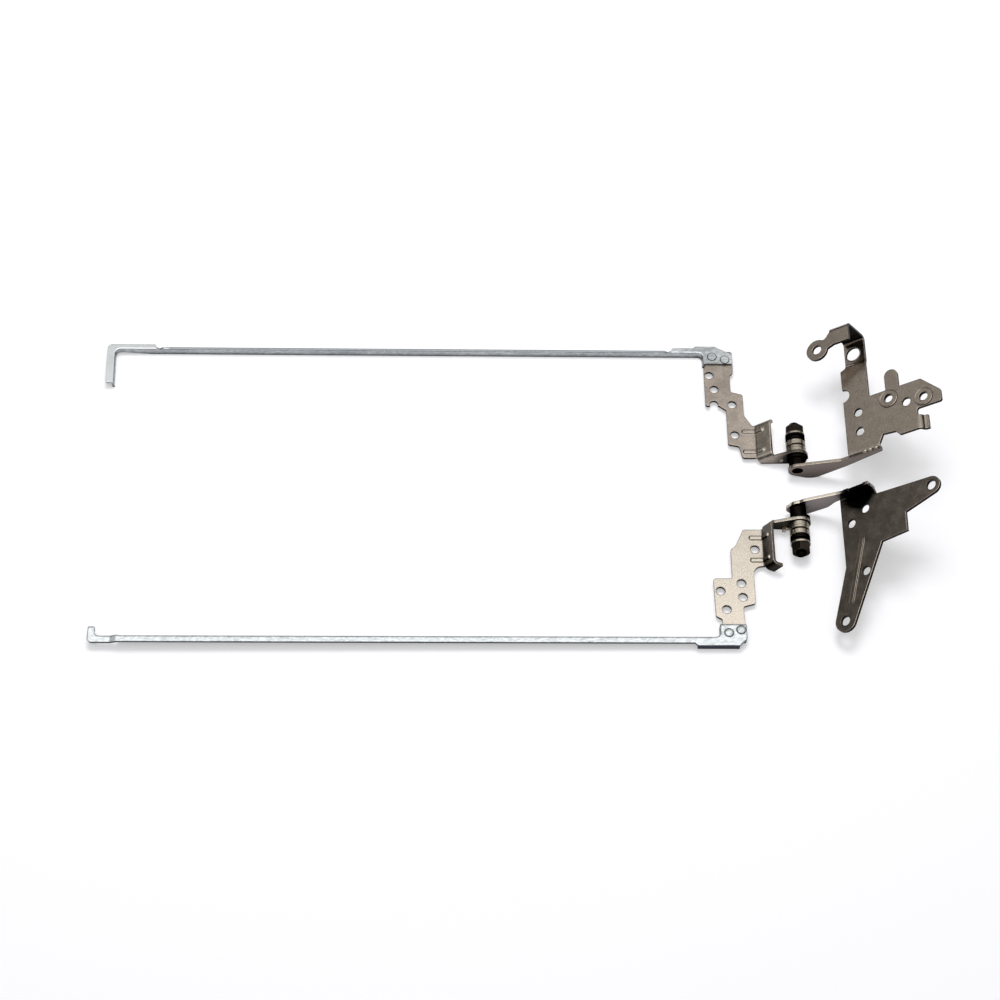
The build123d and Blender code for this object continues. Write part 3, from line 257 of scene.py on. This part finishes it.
    def zoned(self, tree: bpy.types.NodeTree, colour: bpy.types.NodeSocket,
              place: bpy.types.NodeSocket) -> bpy.types.NodeSocket:
        """Gives each zone its colour: painted shade on some and a painted highlight on others.

        Args:
            tree: The material's tree.
            colour: The colour outside the zones.
            place: Where on the piece a point is.

        Returns:
            The colour with the zones.
        """
        normal = add(tree, "ShaderNodeTexCoord").outputs["Normal"]
        for zone in self.zones:
            across = add(tree, "ShaderNodeVectorMath", {0: normal, 1: zone.facing}, operation="DOT_PRODUCT")
            turned = add(tree, "ShaderNodeMath", {0: across.outputs["Value"]}, operation="ABSOLUTE").outputs["Value"]
            side = add(tree, "ShaderNodeMapRange", {"Value": turned, "From Min": zone.limits[0],
                                                    "From Max": zone.limits[1]})
            way = add(tree, "ShaderNodeVectorMath", {0: place, 1: zone.along}, operation="DOT_PRODUCT")
            within = add(tree, "ShaderNodeMath", {0: way.outputs["Value"], 1: zone.centre_mm * MM,
                                                  2: zone.half_mm * MM}, operation="COMPARE").outputs["Value"]
            both = add(tree, "ShaderNodeMath", {0: side.outputs["Result"], 1: within}, operation="MULTIPLY")
            colour = add(tree, "ShaderNodeMix", {"Factor": both.outputs["Value"], 6: colour,
                                                 7: linear(zone.colour)}, data_type="RGBA").outputs[2]
        return colour


@dataclass(frozen=True)
class Hinge:
    """Where a hinge lies, in millimetres: its shaft's axis, its arm's outer face and how far its base is turned up."""

    side: Side
    body: Body
    axis_x: float
    arm_y: float
    turned: float
    way: float
    axis_z: float = 4.3197

    def display(self, x: float, y: float, z: float) -> Vector:
        """A point of the display side, from the shaft: x to the base, y along the shaft from the arm, z up."""
        return Vector((self.axis_x + x, self.arm_y + self.way * y, self.axis_z + z)) * MM

    def base(self, x: float, y: float, z: float) -> Vector:
        """A point of the base side, measured in the same way before the base is turned up."""
        return self.display(0.0, 0.0, 0.0) + self.base_way(x, y, z) * MM

    def base_way(self, x: float, y: float, z: float) -> Vector:
        """A direction of the base side."""
        turn = math.radians(self.turned)
        return Vector((x * math.cos(turn) - z * math.sin(turn), self.way * y, x * math.sin(turn) + z * math.cos(turn)))


RIGHT = Hinge(Side.RIGHT, Body.RIGHT_BASE, axis_x=92.0300, arm_y=5.7903, turned=35.0, way=1.0)
LEFT = Hinge(Side.LEFT, Body.LEFT_BASE, axis_x=91.1300, arm_y=-7.2097, turned=40.0, way=-1.0)
RIGHT_UP, LEFT_UP = tuple(RIGHT.base_way(*UP_Z)), tuple(LEFT.base_way(*UP_Z))

# Zinc plate: bright and almost white where it mirrors the light, with a coarse spangled grain drawn along the rail.
ZINC = PlatedSteel("zinc_plated_steel", colour="CED2D3", cloud="B4B9BB", edge="E0E3E4", roughness=(0.22, 0.36),
                   grain_mm=0.7, grain_tone=(0.62, 1.16), cloud_mm=5.0, stretch=(0.4, 1.0, 1.0))
# Nickel plate: a warm grey mirror that is slightly clouded, with a fine dark grain.
NICKEL = PlatedSteel("nickel_plated_steel", colour="B8AC9F", cloud="AA9E91", edge="DDD3C3")


class Finish(Enum):
    """The finishes of the pair, each named for what the surface is."""

    # The right rail stands on edge: its web carries painted shade, and the top of its hook a painted highlight.
    RIGHT_ZINC = replace(ZINC, name="zinc_plated_steel_on_edge", colour="DADEDF", cloud="BFC4C6", edge_mm=0.2, zones=(
        Zone(facing=UP_Y, along=UP_X, centre_mm=-31.5, half_mm=82.7, colour="8F9598"),
        Zone(facing=UP_Z, along=UP_X, centre_mm=-127.8, half_mm=9.3, colour="E2E6E6", limits=(0.8, 0.95))))
    # The left rail lies flat: its web behind carries a plain painted shade, and its front edge and lip a darker painted
    # shade.
    LEFT_ZINC = replace(ZINC, name="zinc_plated_steel_laid_flat", colour="D8DCDD", cloud="C2C7C9", edge_mm=0.8,
                        edge_highlight_gain=0.0, zones=(
        Zone(facing=UP_Z, along=UP_Y, centre_mm=-51.0, half_mm=3.5, colour="8F9598"),
        Zone(facing=UP_Z, along=UP_Y, centre_mm=-55.6, half_mm=0.7, colour="444B53")))
    # The display brackets carry painted shade on their sheared sides. The right one has a painted highlight on
    # its flange and painted shade round its ear. The left one has painted shade on its flange, and a lighter tone than
    # the right one: painted light for the brighter light that it mirrors.
    RIGHT_DISPLAY = replace(NICKEL, name="nickel_plated_steel_right_display", colour="BCB0A4", cloud="AEA297", zones=(
        Zone(facing=UP_Z, along=UP_X, centre_mm=29.0, half_mm=50.0, colour="3A332D"),
        Zone(facing=(-0.63, 0.0, 0.777), limits=(0.9, 0.97), along=UP_X, centre_mm=82.4, half_mm=2.6, colour="E8DCCB")),
        painted_shade=PaintedShade(at_mm=(92.0, 11.0, 3.0), stops_mm=((0.0, 0.03), (4.4, 0.05), (7.2, 1.0), (12.0, 1.0)),
                    facing=(0.0, -0.9, 0.4)))
    LEFT_DISPLAY = replace(NICKEL, name="nickel_plated_steel_left_display", colour="CCC3B6", cloud="BEB5A8", zones=(
        Zone(facing=UP_Z, along=UP_X, centre_mm=29.0, half_mm=50.0, colour="3A332D"),
        Zone(facing=UP_Z, along=UP_X, centre_mm=88.0, half_mm=8.9, colour="1E1A10")))
    # The base brackets carry painted shade: black on their sheared sides and lighter on their arms.
    RIGHT_BASE = replace(NICKEL, name="nickel_plated_steel_right_base", cloud="A6998C", cloud_mm=3.0,
                         roughness=(0.16, 0.25), zones=(
        Zone(facing=RIGHT_UP, along=UP_Y, centre_mm=32.2, half_mm=25.0, colour="241F1B"),
        Zone(facing=RIGHT_UP, along=UP_Y, centre_mm=6.2, half_mm=0.95, colour="857A72")))
    # On the left one painted shade also lies on the slopes of the long bead, a painted highlight on the arm's upper
    # edge and black painted shade in the fold.
    LEFT_BASE = replace(NICKEL, name="nickel_plated_steel_left_base", cloud="A6998C", cloud_mm=3.0,
                        roughness=(0.14, 0.22), zones=(
        Zone(facing=LEFT_UP, along=UP_Y, centre_mm=-33.6, half_mm=25.0, colour="443E37", limits=(0.99, 0.94)),
        Zone(facing=LEFT_UP, along=UP_Y, centre_mm=-33.6, half_mm=25.0, colour="161311", limits=(0.85, 0.6)),
        Zone(facing=LEFT_UP, along=UP_Y, centre_mm=-7.6, half_mm=0.95, colour="988F8C"),
        Zone(facing=LEFT_UP, along=UP_Y, centre_mm=-7.7, half_mm=0.62, colour="F4E8D6", limits=(0.75, 0.9))),
        painted_shade=PaintedShade(at_mm=tuple(LEFT.base(20.0, 1.5, -3.0) / MM),
                    stops_mm=((0.0, 0.0), (4.6, 0.02), (6.9, 1.0), (12.0, 1.0)),
                    facing=tuple(LEFT.base_way(0.0, 0.7, 0.7))))
    # Ground washers: nickel steel with a turned rim, bright on the faces, with painted shade in the gaps between them.
    WASHER = PlatedSteel("ground_nickel_washers", colour="C8BEAD", cloud="A99E90", edge="E0D6C4", edge_mm=0.12,
                         crevice_mm=0.8)
    # Black oxide: a thin blued layer on steel that only glints.
    BLACK = PlatedSteel("black_oxide_steel", colour="171514", cloud="0F0E0E", edge="4A443E", glint=0.2,
                        roughness=(0.2, 0.32), edge_mm=0.12, crevice_mm=1.0)
    # Oiled black oxide on the nuts: browner, with a soft shine on the flats.
    NUT = PlatedSteel("black_oxide_nut", colour="423B34", cloud="38322C", edge="6A6156", glint=0.3,
                      roughness=(0.16, 0.28), edge_mm=0.15, crevice_mm=2.0)
    # Greased steel: the film swallows the light and leaves only small glints.
    GREASED = PlatedSteel("greased_black_steel", colour="1B1816", cloud="0E0D0C", edge="4A443C", glint=0.15,
                          roughness=(0.14, 0.3), cloud_mm=1.2, edge_mm=0.12, crevice_mm=1.5)
    # Seat of the rivet heads: a darker zinc ring round each head.
    SEAT = PlatedSteel("darker_zinc_seat", colour="66706E", cloud="525C5A", edge="7C8684", edge_mm=0.05)

    def material(self) -> bpy.types.Material:
        """The finish's one material, built on first use."""
        return bpy.data.materials.get(self.value.name) or self.value.material()


def dress(node: str, finish: Finish) -> None:
    """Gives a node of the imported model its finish.

    Args:
        node: The node's name.
        finish: The finish that it gets.
    """
    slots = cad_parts[node].data.materials
    slots.clear()
    slots.append(finish.material())
    log.info("%s wears %s", node, finish.value.name)


@dataclass(frozen=True)
class Spot:
    """A place on the metal, the way the metal faces there, the way that a mark there runs, and its size."""

    place: Vector
    facing: Vector
    along: Vector
    size: float


@dataclass(frozen=True)
class Mark:
    """A small shape that is repeated on spots of the metal: a rolled ring, a screw thread or a bead."""

    name: str
    sizes: dict[str, float]
    shape: Callable[[bpy.types.NodeTree, bpy.types.Node], bpy.types.NodeSocket]

    def tree(self) -> bpy.types.NodeTree:
        """Builds the tree that sets the shape on each spot.

        Returns:
            A tree with one named input for each size and one for the finish.
        """
        tree = bpy.data.node_groups.new(self.name, "GeometryNodeTree")
        tree.interface.new_socket("Spots", in_out="INPUT", socket_type="NodeSocketGeometry")
        for label in self.sizes:
            tree.interface.new_socket(label, in_out="INPUT", socket_type="NodeSocketFloat")
        tree.interface.new_socket("Finish", in_out="INPUT", socket_type="NodeSocketMaterial")
        tree.interface.new_socket("Mesh", in_out="OUTPUT", socket_type="NodeSocketGeometry")
        given = add(tree, "NodeGroupInput")
        shape = self.shape(tree, given)
        size = add(tree, "GeometryNodeInputNamedAttribute", {"Name": "size"}, data_type="FLOAT").outputs["Attribute"]
        turn = None
        for label, axis, pivot in (("facing", "Z", "AUTO"), ("along", "X", "Z")):
            way = add(tree, "GeometryNodeInputNamedAttribute", {"Name": label}, data_type="FLOAT_VECTOR")
            links = {"Vector": way.outputs["Attribute"]} | ({"Rotation": turn} if turn else {})
            turn = add(tree, "FunctionNodeAlignRotationToVector", links, axis=axis,
                       pivot_axis=pivot).outputs["Rotation"]
        placed = add(tree, "GeometryNodeInstanceOnPoints", {"Points": given.outputs["Spots"], "Instance": shape,
                                                            "Rotation": turn, "Scale": size}).outputs["Instances"]
        real = add(tree, "GeometryNodeRealizeInstances", {"Geometry": placed}).outputs["Geometry"]
        smooth = add(tree, "GeometryNodeSetShadeSmooth", {"Geometry": real}).outputs["Geometry"]
        dressed = add(tree, "GeometryNodeSetMaterial", {"Geometry": smooth, "Material": given.outputs["Finish"]})
        add(tree, "NodeGroupOutput", {"Mesh": dressed.outputs["Geometry"]})
        return tree

    def make(self, name: str, spots: list[Spot], finish: Finish, body: Body) -> None:
        """Makes one piece with the shape on every spot.

        Args:
            name: The piece's name.
            spots: Where the shape goes.
            finish: What the piece wears.
            body: The body that it rides on.
        """
        mesh = bpy.data.meshes.new(name)
        mesh.from_pydata([spot.place for spot in spots], [], [])
        mesh.attributes.new("size", "FLOAT", "POINT").data.foreach_set("value", [spot.size for spot in spots])
        for label in ("facing", "along"):
            layer = mesh.attributes.new(label, "FLOAT_VECTOR", "POINT")
            layer.data.foreach_set("vector", [part for spot in spots for part in getattr(spot, label)])
        piece = bpy.data.objects.new(name, mesh)
        bpy.context.scene.collection.objects.link(piece)
        growth = piece.modifiers.new("growth", "NODES")
        growth.node_group = self.tree()
        keys = {item.name: item.identifier for item in growth.node_group.interface.items_tree}
        for label, value in self.sizes.items():
            growth[keys[label]] = value
        growth[keys["Finish"]] = finish.material()
        plain = bpy.data.meshes.new_from_object(piece.evaluated_get(bpy.context.evaluated_depsgraph_get()))
        piece.modifiers.clear()
        piece.data = plain
        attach(piece, body.value)
        log.info("%s has %d faces on %d spots", name, len(plain.polygons), len(spots))


def rolled_ring(tree: bpy.types.NodeTree, given: bpy.types.Node) -> bpy.types.NodeSocket:
    """A round bead bent to a ring whose radius is 1.

    Args:
        tree: The tree that gets the nodes.
        given: The tree's inputs.

    Returns:
        The ring's mesh.
    """
    ring = add(tree, "GeometryNodeCurvePrimitiveCircle", {"Resolution": 32, "Radius": 1.0}).outputs["Curve"]
    section = add(tree, "GeometryNodeCurvePrimitiveCircle", {"Resolution": 6, "Radius": given.outputs["Thickness"]})
    return add(tree, "GeometryNodeCurveToMesh", {"Curve": ring,
                                                 "Profile Curve": section.outputs["Curve"]}).outputs["Mesh"]


def screw_thread(tree: bpy.types.NodeTree, given: bpy.types.Node) -> bpy.types.NodeSocket:
    """A thread's ridge, wound upwards round the axis.

    Args:
        tree: The tree that gets the nodes.
        given: The tree's inputs.

    Returns:
        The ridge's mesh, closed at both ends.
    """
    path = add(tree, "GeometryNodeCurveSpiral", {"Resolution": 24, "Rotations": given.outputs["Turns"],
                                                 "Start Radius": given.outputs["Radius"],
                                                 "End Radius": given.outputs["Radius"],
                                                 "Height": given.outputs["Length"]}).outputs["Curve"]
    section = add(tree, "GeometryNodeCurvePrimitiveCircle", {"Resolution": 4, "Radius": given.outputs["Ridge"]})
    return add(tree, "GeometryNodeCurveToMesh", {"Curve": path, "Profile Curve": section.outputs["Curve"],
                                                 "Fill Caps": True}).outputs["Mesh"]


def pressed_bead(tree: bpy.types.NodeTree, given: bpy.types.Node) -> bpy.types.NodeSocket:
    """A rounded bead, longer than it is wide.

    Args:
        tree: The tree that gets the nodes.
        given: The tree's inputs.

    Returns:
        The bead's mesh.
    """
    ball = add(tree, "GeometryNodeMeshUVSphere", {"Segments": 16, "Rings": 10, "Radius": 1.0}).outputs["Mesh"]
    shape = add(tree, "ShaderNodeCombineXYZ", {"X": given.outputs["Length"], "Y": given.outputs["Width"],
                                               "Z": given.outputs["Height"]}).outputs["Vector"]
    return add(tree, "GeometryNodeTransform", {"Geometry": ball, "Scale": shape}).outputs["Geometry"]


@dataclass
class DisplaySide:
    """The riveted rail and the stepped bracket that hold the screen."""

    hinge: Hinge
    rail: Finish
    bracket: Finish

    def dress(self) -> None:
        """Gives the rail, its rivets and the bracket their finishes."""
        side = self.hinge.side.value
        dress(f"{side}_display_rail", self.rail)
        dress(f"{side}_rail_rivets", self.rail)
        dress(f"{side}_display_bracket", self.bracket)


@dataclass
class BaseSide:
    """The folded bracket that is screwed into the base case."""

    hinge: Hinge
    bracket: Finish

    def dress(self) -> None:
        """Gives the bracket its finish."""
        dress(f"{self.hinge.side.value}_base_bracket", self.bracket)


@dataclass
class FrictionBarrel:
    """The shaft, washers, springs and nut that make the hinge stay where it is put."""

    hinge: Hinge
    thread_start: float
    thread_length: float
    thread: float = 1.42
    pitch: float = 0.5
    ridge: float = 0.14
    finishes: dict[str, Finish] = field(default_factory=lambda: {
        "hinge_shaft": Finish.GREASED, "stop_washer": Finish.BLACK, "friction_plate": Finish.WASHER,
        "friction_washers": Finish.WASHER, "pressure_washer": Finish.WASHER, "spring_washers": Finish.BLACK,
        "nut_washer": Finish.WASHER, "lock_nut": Finish.NUT})

    def build(self) -> None:
        """Winds the thread round the shaft's tip."""
        sizes = {"Turns": self.thread_length / self.pitch, "Radius": self.thread * MM,
                 "Length": self.thread_length * MM, "Ridge": self.ridge * MM}
        foot = Spot(self.hinge.base(0.0, self.thread_start, 0.0), self.hinge.base_way(0.0, 1.0, 0.0),
                    self.hinge.base_way(1.0, 0.0, 0.0), 1.0)
        side = self.hinge.side.value
        Mark("screw_thread", sizes, screw_thread).make(f"{side}_shaft_thread", [foot], Finish.GREASED, self.hinge.body)

    def dress(self) -> None:
        """Gives each barrel piece its finish."""
        for piece, finish in self.finishes.items():
            dress(f"{self.hinge.side.value}_{piece}", finish)


@dataclass
class PressMarks:
    """What the press left on the sheets: rolled lips round the holes, rivet seats and the beads across a fold."""

    plate_top: float = -2.1197
    pad_top: float = -1.3197
    lip: float = 0.1
    seat: float = 0.13
    right_display: tuple[tuple[float, float], ...] = ((-26.5, 38.2), (-25.1, 32.7), (-19.5, 26.7), (-19.2, 15.0))
    left_display: tuple[tuple[float, float], ...] = ((-14.3, 14.6), (-19.2, 26.7), (-19.0, 31.6), (-25.9, 29.4),
                                                     (-24.3, 35.9))
    right_base: tuple[tuple[float, float, float, float], ...] = (
        (38.9, 13.0, -1.5, 1.5), (22.2, 15.0, -1.5, 1.5), (22.2, 7.9, -1.5, 1.5), (33.1, 16.3, -1.2, 1.5),
        (44.9, 12.8, -1.2, 1.5), (33.1, 16.3, -1.35, 2.8), (44.9, 12.8, -1.35, 2.8), (14.3, 36.8, 8.3, 1.6),
        (22.2, 37.8, -2.0, 2.5))
    left_base: tuple[tuple[float, float, float, float], ...] = (
        (21.7, 7.0, -4.2, 1.5), (16.4, 10.6, -4.2, 1.5), (20.0, 28.5, -4.2, 1.5), (45.2, 7.3, -4.2, 1.6),
        (11.2, 43.0, -4.2, 1.6))
    right_rivets: tuple[tuple[float, float], ...] = ((-25.3, 45.1), (-21.1, 43.9))
    left_rivets: tuple[tuple[float, float], ...] = ((-24.1, 44.4), (-20.3, 43.4))
    display_hole: float = 1.4
    rivet_head: float = 1.35
    sunk: float = 0.04
    lip_margin: float = 0.1
    seat_margin: float = 0.08
    bead_size: Triple = (0.8, 0.6, 0.55)
    beads: tuple[float, ...] = (23.0, 24.8, 26.9)
    bead_place: tuple[float, float] = (0.45, -1.95)

    def build(self) -> None:
        """Makes the lips, the seats and the beads, one piece for each body and finish."""
        up, along = Vector((0.0, 0.0, 1.0)), Vector((1.0, 0.0, 0.0))
        lip = Mark("rolled_lip", {"Thickness": self.lip}, rolled_ring)
        seat = Mark("rivet_seat", {"Thickness": self.seat}, rolled_ring)
        for hinge, holes, rivets, finish in ((RIGHT, self.right_display, self.right_rivets, Finish.RIGHT_DISPLAY),
                                             (LEFT, self.left_display, self.left_rivets, Finish.LEFT_DISPLAY)):
            side = hinge.side.value
            radius = (self.display_hole + self.lip_margin) * MM
            spots = [Spot(hinge.display(x, y, self.plate_top - self.sunk), up, along, radius) for x, y in holes]
            lip.make(f"{side}_display_hole_lips", spots, finish, Body.DISPLAY)
            radius = (self.rivet_head + self.seat_margin) * MM
            spots = [Spot(hinge.display(x, y, self.pad_top), up, along, radius) for x, y in rivets]
            seat.make(f"{side}_rivet_seats", spots, Finish.SEAT, Body.DISPLAY)
        for hinge, holes, finish in ((RIGHT, self.right_base, Finish.RIGHT_BASE),
                                     (LEFT, self.left_base, Finish.LEFT_BASE)):
            up, along = hinge.base_way(0.0, 0.0, 1.0), hinge.base_way(1.0, 0.0, 0.0)
            spots = [Spot(hinge.base(x, y, z - self.sunk), up, along, (radius + self.lip_margin) * MM)
                     for x, y, z, radius in holes]
            lip.make(f"{hinge.side.value}_base_hole_lips", spots, finish, hinge.body)
        out = RIGHT.base_way(0.0, -1.0, 1.0)
        spots = [Spot(RIGHT.base(x, *self.bead_place), out, RIGHT.base_way(1.0, 0.0, 0.0), MM) for x in self.beads]
        bead = Mark("fold_bead", dict(zip(("Length", "Width", "Height"), self.bead_size)), pressed_bead)
        # The beads wear the paler washer finish, which paints them lighter than the bracket: a painted highlight.
        bead.make("right_base_fold_beads", spots, Finish.WASHER, RIGHT.body)


@dataclass
class Studio:
    """White table, soft lights overhead, a room that darkens towards its walls, and the camera."""

    floor_size: float = 30.0
    floor_tone: str = "C8C8CC"
    floor_glow: float = 0.45
    floor_mirrored: float = 0.15
    light_size: tuple[float, float] = (1.1, 0.8)
    light_place: tuple[float, float, float] = (-0.1, 0.0, 0.75)
    light_power: float = 3.5
    key_size: float = 0.35
    key_place: tuple[float, float, float] = (0.0, 0.32, 0.9)
    key_power: float = 5.2
    room: tuple[tuple[float, float], ...] = ((0.0, 0.0), (0.25, 0.02), (0.31, 0.05), (0.36, 0.155), (0.45, 0.59),
                                             (0.6, 0.63), (1.0, 0.67))
    room_mirrored: float = 0.03
    room_fill: float = 0.2
    camera_place: tuple[float, float, float] = (-0.00387, -0.34551, 0.5941)
    camera_pitch: float = 30.0
    lens: float = 76.68

    def build(self) -> None:
        """Makes the floor, the lights, the room and the camera."""
        self.floor()
        self.light("softbox", self.light_size, self.light_place, self.light_power)
        key = self.light("key", (self.key_size, self.key_size), self.key_place, self.key_power)
        key.visible_glossy = False
        self.surroundings()
        self.camera()

    def shown(self, tree: bpy.types.NodeTree, mirrored: float) -> bpy.types.NodeSocket:
        """Share of the white that a ray sees: all of it from the camera or a window, less of it in a mirror.

        Args:
            tree: The tree that gets the nodes.
            mirrored: Share that polished metal shows.

        Returns:
            The factor's socket.
        """
        path = add(tree, "ShaderNodeLightPath")
        mirror = add(tree, "ShaderNodeMath", {0: path.outputs["Is Glossy Ray"], 1: mirrored,
                                              2: path.outputs["Is Camera Ray"]}, operation="MULTIPLY_ADD")
        every = add(tree, "ShaderNodeMath", {0: mirror.outputs["Value"], 1: path.outputs["Is Transmission Ray"]},
                    operation="ADD", use_clamp=True)
        return every.outputs["Value"]

    def floor(self) -> None:
        """A matt white table that keeps the pair's shadow."""
        half = self.floor_size / 2
        mesh = bpy.data.meshes.new("table")
        mesh.from_pydata([(-half, -half, 0), (half, -half, 0), (half, half, 0), (-half, half, 0)], [], [(0, 1, 2, 3)])
        table = bpy.data.objects.new("table", mesh)
        bpy.context.scene.collection.objects.link(table)
        paper = bpy.data.materials.new("white_table")
        paper.use_nodes = True
        tree = paper.node_tree
        tree.nodes.clear()
        matt = add(tree, "ShaderNodeBsdfDiffuse", {"Color": linear(self.floor_tone)}).outputs["BSDF"]
        factor = self.shown(tree, self.floor_mirrored)
        strength = add(tree, "ShaderNodeMath", {0: factor, 1: self.floor_glow}, operation="MULTIPLY").outputs["Value"]
        glow = add(tree, "ShaderNodeEmission", {"Color": grey(1.0), "Strength": strength}).outputs["Emission"]
        both = add(tree, "ShaderNodeAddShader", {0: matt, 1: glow}).outputs["Shader"]
        add(tree, "ShaderNodeOutputMaterial", {"Surface": both})
        mesh.materials.append(paper)

    def light(self, name: str, size: tuple[float, float], place: Triple, power: float) -> bpy.types.Object:
        """Hangs a soft light that shines straight down.

        Args:
            name: The light's name.
            size: Its width and depth in metres.
            place: Where it hangs.
            power: Its power in watts.

        Returns:
            The light's object.
        """
        lamp = bpy.data.lights.new(name, "AREA")
        lamp.shape = "RECTANGLE"
        lamp.size, lamp.size_y = size
        lamp.energy = power
        holder = bpy.data.objects.new(name, lamp)
        holder.location = place
        bpy.context.scene.collection.objects.link(holder)
        return holder

    def surroundings(self) -> None:
        """A room that is dim at the horizon and brighter overhead, and white where the camera sees it."""
        world = bpy.data.worlds.new("room")
        bpy.context.scene.world = world
        world.use_nodes = True
        tree = world.node_tree
        tree.nodes.clear()
        way = add(tree, "ShaderNodeTexCoord").outputs["Generated"]
        height = add(tree, "ShaderNodeSeparateXYZ", {"Vector": way}).outputs["Z"]
        shade = add(tree, "ShaderNodeValToRGB", {"Fac": height},
                    stops=tuple((place, grey(level)) for place, level in self.room)).outputs["Color"]
        path = add(tree, "ShaderNodeLightPath")
        colour = add(tree, "ShaderNodeMix", {"Factor": self.shown(tree, self.room_mirrored), 6: shade, 7: grey(1.0)},
                     data_type="RGBA").outputs[2]
        fill = add(tree, "ShaderNodeMath", {0: path.outputs["Is Diffuse Ray"], 1: self.room_fill - 1.0, 2: 1.0},
                   operation="MULTIPLY_ADD").outputs["Value"]
        back = add(tree, "ShaderNodeBackground", {"Color": colour, "Strength": fill})
        add(tree, "ShaderNodeOutputWorld", {"Surface": back.outputs["Background"]})

    def camera(self) -> None:
        """A camera that looks down on the table from the front."""
        data = bpy.data.cameras.new("camera")
        data.sensor_width = 36.0
        data.lens = self.lens
        data.clip_start = 0.01
        holder = bpy.data.objects.new("camera", data)
        holder.location = self.camera_place
        holder.rotation_euler = (math.radians(self.camera_pitch), 0.0, 0.0)
        bpy.context.scene.collection.objects.link(holder)
        bpy.context.scene.camera = holder


def main() -> None:
    """Builds the studio, dresses both hinges and adds the small pieces."""
    logging.basicConfig(level=logging.INFO, format="%(message)s")
    bpy.context.scene.view_settings.view_transform = "Standard"
    Studio().build()
    for side in (DisplaySide(RIGHT, Finish.RIGHT_ZINC, Finish.RIGHT_DISPLAY),
                 DisplaySide(LEFT, Finish.LEFT_ZINC, Finish.LEFT_DISPLAY),
                 BaseSide(RIGHT, Finish.RIGHT_BASE), BaseSide(LEFT, Finish.LEFT_BASE)):
        side.dress()
    for barrel in (FrictionBarrel(RIGHT, thread_start=16.35, thread_length=1.3),
                   FrictionBarrel(LEFT, thread_start=17.1, thread_length=1.0)):
        barrel.build()
        barrel.dress()
    PressMarks().build()
    bpy.context.view_layer.update()


if __name__ == "__main__":
    main()
